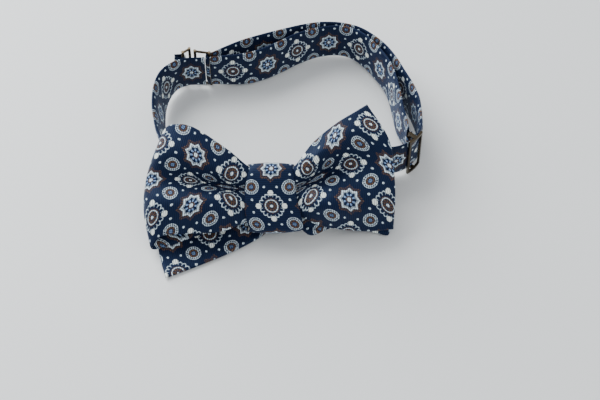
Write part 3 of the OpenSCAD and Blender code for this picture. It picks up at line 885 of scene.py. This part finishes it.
def make_band(
    name, line, snug, offset, silk_nodes, wool_nodes,
    high=band_w / 2, full=band_full, plain=band_half, step=1.1, body="tie",
):
    """A run of band along a route. It plumps up to `full`, but stays `plain` near snug points."""
    line, spots = evenly(line, step)
    gap = np.full(len(line), 99.0)
    for p in snug:
        gap = np.minimum(gap, np.hypot(line[:, 0] - p[0], line[:, 1] - p[1]))
    half = plain + (full - plain) * np.clip((gap - 3) / 7, 0, 1)
    # Away from the snug points the tube ripples and leans a little
    loose = np.clip((gap - 6) / 10, 0, 1)
    half = half * (1 + 0.09 * np.sin(spots / 3.9) * loose)
    line[:, 2] += 0.35 * np.sin(spots / 9.5 + 1) * loose
    outer = band_rings(line, half, high)
    inner = band_rings(line, half, high, inset=edge_t)
    up = np.concatenate([section_up, section_up[-2::-1]]) * high
    cloth = np.stack(
        [
            np.repeat(spots[:, None], len(up), axis=1) + offset[0],
            np.repeat(up[None, :], len(spots), axis=0) + offset[1],
        ],
        axis=-1,
    )
    piece = skin(name, outer, inner, cloth, wrap=True)
    finish_silk(piece, silk_nodes, body=body)
    if wool_nodes:
        # The interlining is a flat strip in the middle of the tube, from edge to edge
        flat_tube = band_rings(line, np.full(len(line), edge_t + 0.001), high, inset=edge_t)
        strip_points = 9
        picked = np.linspace(0, len(section_up) - 1, strip_points).round().astype(int)
        strip = flat_tube[:, np.clip(picked, 1, len(section_up) - 2)]
        side = np.pad(sideways(line), ((0, 0), (0, 1)))[:, None, :]
        strip_cloth = np.stack(
            [
                np.repeat(spots[:, None], strip_points, axis=1),
                np.repeat(strip[:1, :, 2], len(spots), axis=0),
            ],
            axis=-1,
        )
        wool = skin(name + "_wool", strip + side * band_wool, strip - side * band_wool, strip_cloth)
        wool.data.materials.append(interlining)
        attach(wool, body)
        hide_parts(*wool_nodes)
    return piece


back_cut = 0.43 * band_w
left_points = route([
    (-0.15, knot_back, 0, back_cut), (-11, knot_back + 0.5, 0, 0.9 * back_cut),
    (-22, 16, 0, back_cut / 3), (-33, 20.6, 0), (-43, 23.2, -1), (-50.5, 29, -2.5),
    (-54.8, 38, -4), (-56.8, 48, -4.5), (-57.8, 58, -4.5), (-57.6, 67.5, -4),
    (-55.4, 76, -3), (-50.4, 82.4, -1), at_meet(-9, 0),
])
left_line = np.concatenate([
    through(left_points, np.linspace(0, 1, 90)), route([at_meet(-5, 0), at_meet(0.25, 0)])
])
hook_place = at_meet(-6, 2)
make_band(
    "left_band", left_line, [hook_place], (7.5, 0), ["left_band_silk"], ["left_band_interlining"],
)

strap_front = route([
    (0.15, knot_back, 0, back_cut), (11, knot_back + 0.5, 0, 0.9 * back_cut),
    (22, 17, 0, back_cut / 3), (34, 22.2, 0), (47, 24.8, 0), on_bend(12),
])
strap_bend = route([on_bend(a) for a in np.linspace(12, 94, 12)[1:]])
strap_back = route([
    on_bend(94), (73.8, 52, 1), (72.4, 60, 2), (69.4, 68.5, 2.5), (65.6, 77, 2.5), (61.6, 86, 2.5),
    (57.4, 93.5, 2.5), (52, 100.2, 2), (45.4, 105.6, 2), (38.5, 108.4, 2), (32, 109.4, 2),
    (24, 109.2, 2), (15, 107.4, 2), (5, 104.4, 2), (-6, 100.8, 2), (-15.5, 97, 2), (-24, 92.8, 1),
    at_meet(fold_s + 1.5, 2 * fold_r),
])
strap_fold = route([
    at_meet(fold_s - fold_r * math.sin(math.radians(a)), fold_r + fold_r * math.cos(math.radians(a)))
    for a in range(0, 181, 20)
])
strap_line = np.concatenate([
    through(strap_front, np.linspace(0, 1, 40)), strap_bend,
    through(strap_back, np.linspace(0, 1, 140))[1:], strap_fold,
])
slider_places = [on_bend(slider_angle + turn) for turn in (0, slider_travel, -slider_travel)]
make_band(
    "strap", strap_line, [at_meet(fold_s, fold_r), *slider_places], (27.2, 0),
    ["strap_silk"], ["strap_interlining"], step=0.8,
)

return_points = route([
    at_meet(fold_s + 0.3, 0), (-26, 86.2, -1), (-15, 87, -2.5), (-6, 90, -2.5), (3, 95, -2.5),
    (12, 100.8, -2.5), (22, 105.2, -2), (32, 107, -2), (40, 105.6, -2), (47, 100.6, -2.5),
    (54, 91.2, -2.5), (59, 82, -2.5), (61.5, 73, -2.5), (63.3, 62, -2.5), (64.6, 52, -2),
    on_bend(slider_angle + 36, 10.1), on_bend(slider_angle + 14, 11.6),
])
return_line, return_spots = evenly(through(return_points, np.linspace(0, 1, 150)), 1.0)
# The last 16 points, 1 mm apart, are the strap's end
end_share = 16
tab_end = on_bend(slider_angle + 17, 11.1)
end_snug = [on_bend(slider_angle + 20, 11.0), tab_end]
make_band(
    "strap_return", return_line[:-end_share], [at_meet(fold_s, 0), *end_snug],
    (25.0, 0), ["strap_return_silk"], ["strap_return_interlining"],
)

# ---------------------------------------------------------------- the slider and its tab
# The slider is a brass frame with a middle bar, curved with the strap and finished in aged
# bronze. The strap passes through it, and the strap's own end is folded round the middle bar
# and sewn to itself.

slide_gap = 0.3
slider_t = 1.1
tab_t = 0.9
tab_outer = bend_r - band_half - slide_gap
bar_in = tab_outer - tab_t - wire_gap - slider_t
tab_inner = bar_in - wire_gap - tab_t
tab_half = 0.41
tab_high = (band_w - 2) / 2
bar_turn = math.degrees(1.6 / (bar_in + slider_t))
tab_reach = 16
tab_turns_at = -bar_turn / 2 - 1


def tab_point(angle, r):
    return on_bend(slider_angle + angle, r)


r_high, r_low = tab_outer - tab_t / 2, tab_inner + tab_t / 2
r_middle = (r_high + r_low) / 2
slider_tab_line = route(
    [tab_point(a, r_high) for a in np.linspace(tab_reach, tab_turns_at, 12)]
    + [
        tab_point(tab_turns_at - 2.6 * math.sin(k), r_middle + (r_high - r_low) / 2 * math.cos(k))
        for k in np.linspace(0.35, math.pi - 0.35, 6)
    ]
    + [tab_point(a, r_low) for a in np.linspace(tab_turns_at, tab_reach, 12)]
)
make_band(
    "slider_tab_silk", slider_tab_line, [bend_at], (2.0, 0), ["slider_tab"], [],
    high=tab_high, full=tab_half, plain=tab_half, step=0.5, body="slider_buckle",
)

# The strap's last few millimetres join the fixed run to the tab that slides with the frame
end_piece = make_band(
    "strap_end", return_line[-end_share - 1:], end_snug, (25.0 + return_spots[-end_share - 1], 0), [], [],
    step=0.5, body=None,
)
blend_from = (np.array([*on_bend(slider_angle + 34, 10.4), band_z]) + foot) * mm
blend_to = (np.array([*tab_point(17, 12.0), band_z]) + foot) * mm
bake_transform(end_piece)

aged = bpy.data.node_groups.new("aged bronze", "ShaderNodeTree")
aged_sockets = (
    ("Metal", "INPUT", "NodeSocketColor"), ("Tarnish", "INPUT", "NodeSocketColor"),
    ("Color", "OUTPUT", "NodeSocketColor"), ("Roughness", "OUTPUT", "NodeSocketFloat"),
    ("Height", "OUTPUT", "NodeSocketFloat"),
)
for label, way, kind in aged_sockets:
    aged.interface.new_socket(name=label, in_out=way, socket_type=kind)
aged_in = aged.nodes.new("NodeGroupInput")
aged_out = aged.nodes.new("NodeGroupOutput")
aged_place = aged.nodes.new("ShaderNodeTexCoord")
patina = aged.nodes.new("ShaderNodeTexNoise")
patina.inputs["Scale"].default_value = 420
patina.inputs["Detail"].default_value = 6
patina.inputs["Roughness"].default_value = 0.65
aged.links.new(aged_place.outputs["Object"], patina.inputs["Vector"])
worn_edge = aged.nodes.new("ShaderNodeNewGeometry")
rub = aged.nodes.new("ShaderNodeMapRange")
rub.inputs["From Min"].default_value = 0.50
rub.inputs["From Max"].default_value = 0.56
aged.links.new(worn_edge.outputs["Pointiness"], rub.inputs["Value"])
patch = aged.nodes.new("ShaderNodeMapRange")
patch.inputs["From Min"].default_value = 0.38
patch.inputs["From Max"].default_value = 0.62
aged.links.new(patina.outputs["Fac"], patch.inputs["Value"])
bare = aged.nodes.new("ShaderNodeMath")
bare.operation = "MAXIMUM"
aged.links.new(rub.outputs["Result"], bare.inputs[0])
aged.links.new(patch.outputs["Result"], bare.inputs[1])
tone = aged.nodes.new("ShaderNodeMix")
tone.data_type = "RGBA"
aged.links.new(bare.outputs[0], tone.inputs["Factor"])
aged.links.new(aged_in.outputs["Tarnish"], tone.inputs[6])
aged.links.new(aged_in.outputs["Metal"], tone.inputs[7])
gloss = aged.nodes.new("ShaderNodeMapRange")
gloss.inputs["To Min"].default_value = 0.52
gloss.inputs["To Max"].default_value = 0.30
aged.links.new(bare.outputs[0], gloss.inputs["Value"])
aged.links.new(tone.outputs[2], aged_out.inputs["Color"])
aged.links.new(gloss.outputs["Result"], aged_out.inputs["Roughness"])
aged.links.new(patina.outputs["Fac"], aged_out.inputs["Height"])


def bronze_finish(name, metal, tarnish):
    material = bpy.data.materials.new(name)
    material.use_nodes = True
    shader = material.node_tree.nodes["Principled BSDF"]
    finish = place_group(material, aged)
    finish.inputs["Metal"].default_value = metal
    finish.inputs["Tarnish"].default_value = tarnish
    material.node_tree.links.new(finish.outputs["Color"], shader.inputs["Base Color"])
    material.node_tree.links.new(finish.outputs["Roughness"], shader.inputs["Roughness"])
    material.node_tree.links.new(
        bump(material, finish.outputs["Height"], 0.00003, 0.5), shader.inputs["Normal"]
    )
    shader.inputs["Metallic"].default_value = 1.0
    return material


slider_bronze = bronze_finish("slider bronze", (0.070, 0.055, 0.036, 1), (0.026, 0.020, 0.014, 1))
for slot in nodes["slider"].material_slots:
    slot.material = slider_bronze

# ---------------------------------------------------------------- the stitches
# Short rows of navy silk thread hold the strap's end and the hook's tab. Each stitch is a
# small plump loop of two-ply thread that sinks into the cloth at both ends.

thread_navy = bpy.data.materials.new("navy thread")
thread_navy.use_nodes = True
thread_shader = thread_navy.node_tree.nodes["Principled BSDF"]
twist = thread_navy.node_tree.nodes.new("ShaderNodeTexWave")
twist.inputs["Scale"].default_value = 900
twist.inputs["Distortion"].default_value = 1.5
twist_place = thread_navy.node_tree.nodes.new("ShaderNodeTexCoord")
twist_colour = thread_navy.node_tree.nodes.new("ShaderNodeValToRGB")
twist_colour.color_ramp.elements[0].color = (0.008, 0.012, 0.04, 1)
twist_colour.color_ramp.elements[1].color = (0.03, 0.045, 0.13, 1)
thread_navy.node_tree.links.new(twist_place.outputs["Object"], twist.inputs["Vector"])
thread_navy.node_tree.links.new(twist.outputs["Fac"], twist_colour.inputs["Fac"])
thread_navy.node_tree.links.new(twist_colour.outputs["Color"], thread_shader.inputs["Base Color"])
thread_navy.node_tree.links.new(
    bump(thread_navy, twist.outputs["Fac"], 0.00005, 0.8), thread_shader.inputs["Normal"]
)
thread_shader.inputs["Roughness"].default_value = 0.55


def stitch_row(name, place, outward, replaces, body, count=5, pitch=3.45, reach=1.0, thick=0.22):
    """A row of upright stitches at place [x, y] mm, each bulging outwards."""
    verts, faces = [], []
    outward = np.array([*outward, 0.0])
    across = np.array([-outward[1], outward[0], 0.0])
    for s in range(count):
        z = band_z + (s - (count - 1) / 2) * pitch
        base = len(verts)
        for i in range(9):
            k = i / 8
            middle = np.array([*place, z + reach * (2 * k - 1)]) + foot
            middle = middle + outward * (0.16 * math.sin(math.pi * k) - 0.06)
            r = thick * (0.45 + 0.55 * math.sin(math.pi * k))
            for j in range(8):
                a = 2 * math.pi * j / 8
                verts.append(tuple((middle + outward * r * math.cos(a) + across * r * math.sin(a)) * mm))
        for i in range(8):
            for j in range(8):
                a, b = base + i * 8 + j, base + i * 8 + (j + 1) % 8
                faces.append((a, b, b + 8, a + 8))
        faces.append(tuple(base + j for j in range(8)))
        faces.append(tuple(base + 64 + j for j in reversed(range(8))))
    mesh = bpy.data.meshes.new(name)
    mesh.from_pydata(verts, [], faces)
    mesh.polygons.foreach_set("use_smooth", [True] * len(mesh.polygons))
    mesh.materials.append(thread_navy)
    row = bpy.data.objects.new(name, mesh)
    bpy.context.scene.collection.objects.link(row)
    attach(row, body)
    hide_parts(*replaces)


sewn_at = 12
sew_angle = math.radians(slider_angle + sewn_at)
stitch_row(
    "slider_sewing", tab_point(sewn_at, tab_inner - 0.12), (-math.sin(sew_angle), math.cos(sew_angle)),
    ["slider_stitches"], "slider_buckle",
)

# ---------------------------------------------------------------- the hook, the ring and the tab
# The two ends meet at the back left. A silk tab, sewn to the short half, holds a flat wire
# hook, and the strap is folded through a wire ring that the hook's tongue catches.

keeper_t = 0.8
keeper_gap = 0.2
hook_back = (-10.8, band_half + keeper_gap + keeper_t + wire_gap + wire_r)
keeper_r = wire_r + wire_gap + keeper_t / 2
keeper_reach = (0, 1.5, 3, 4.5)
keeper_line = route(
    [at_meet(hook_back[0] - s, hook_back[1] + keeper_r) for s in reversed(keeper_reach)]
    + [
        at_meet(hook_back[0] + keeper_r * math.sin(k), hook_back[1] + keeper_r * math.cos(k))
        for k in np.linspace(0.3, math.pi - 0.3, 8)
    ]
    + [at_meet(hook_back[0] - s, hook_back[1] - keeper_r) for s in keeper_reach]
)
make_band(
    "keeper_tab_silk", keeper_line, [meet], (12.0, 3.0), ["keeper_tab"], [],
    high=(band_w - 2) / 2, full=0.38, plain=0.38, step=0.5,
)
stitch_row(
    "keeper_sewing", at_meet(hook_back[0] - 3.5, hook_back[1] + keeper_r + keeper_t / 2 + 0.02),
    (-math.sin(meet_angle), math.cos(meet_angle)), ["keeper_stitches"], "tie",
)
ring_bronze = bronze_finish("ring bronze", (0.10, 0.075, 0.046, 1), (0.030, 0.022, 0.014, 1))
hook_bronze = bronze_finish("hook bronze", (0.115, 0.085, 0.052, 1), (0.034, 0.025, 0.016, 1))
for slot in nodes["ring"].material_slots:
    slot.material = ring_bronze
for slot in nodes["hook"].material_slots:
    slot.material = hook_bronze
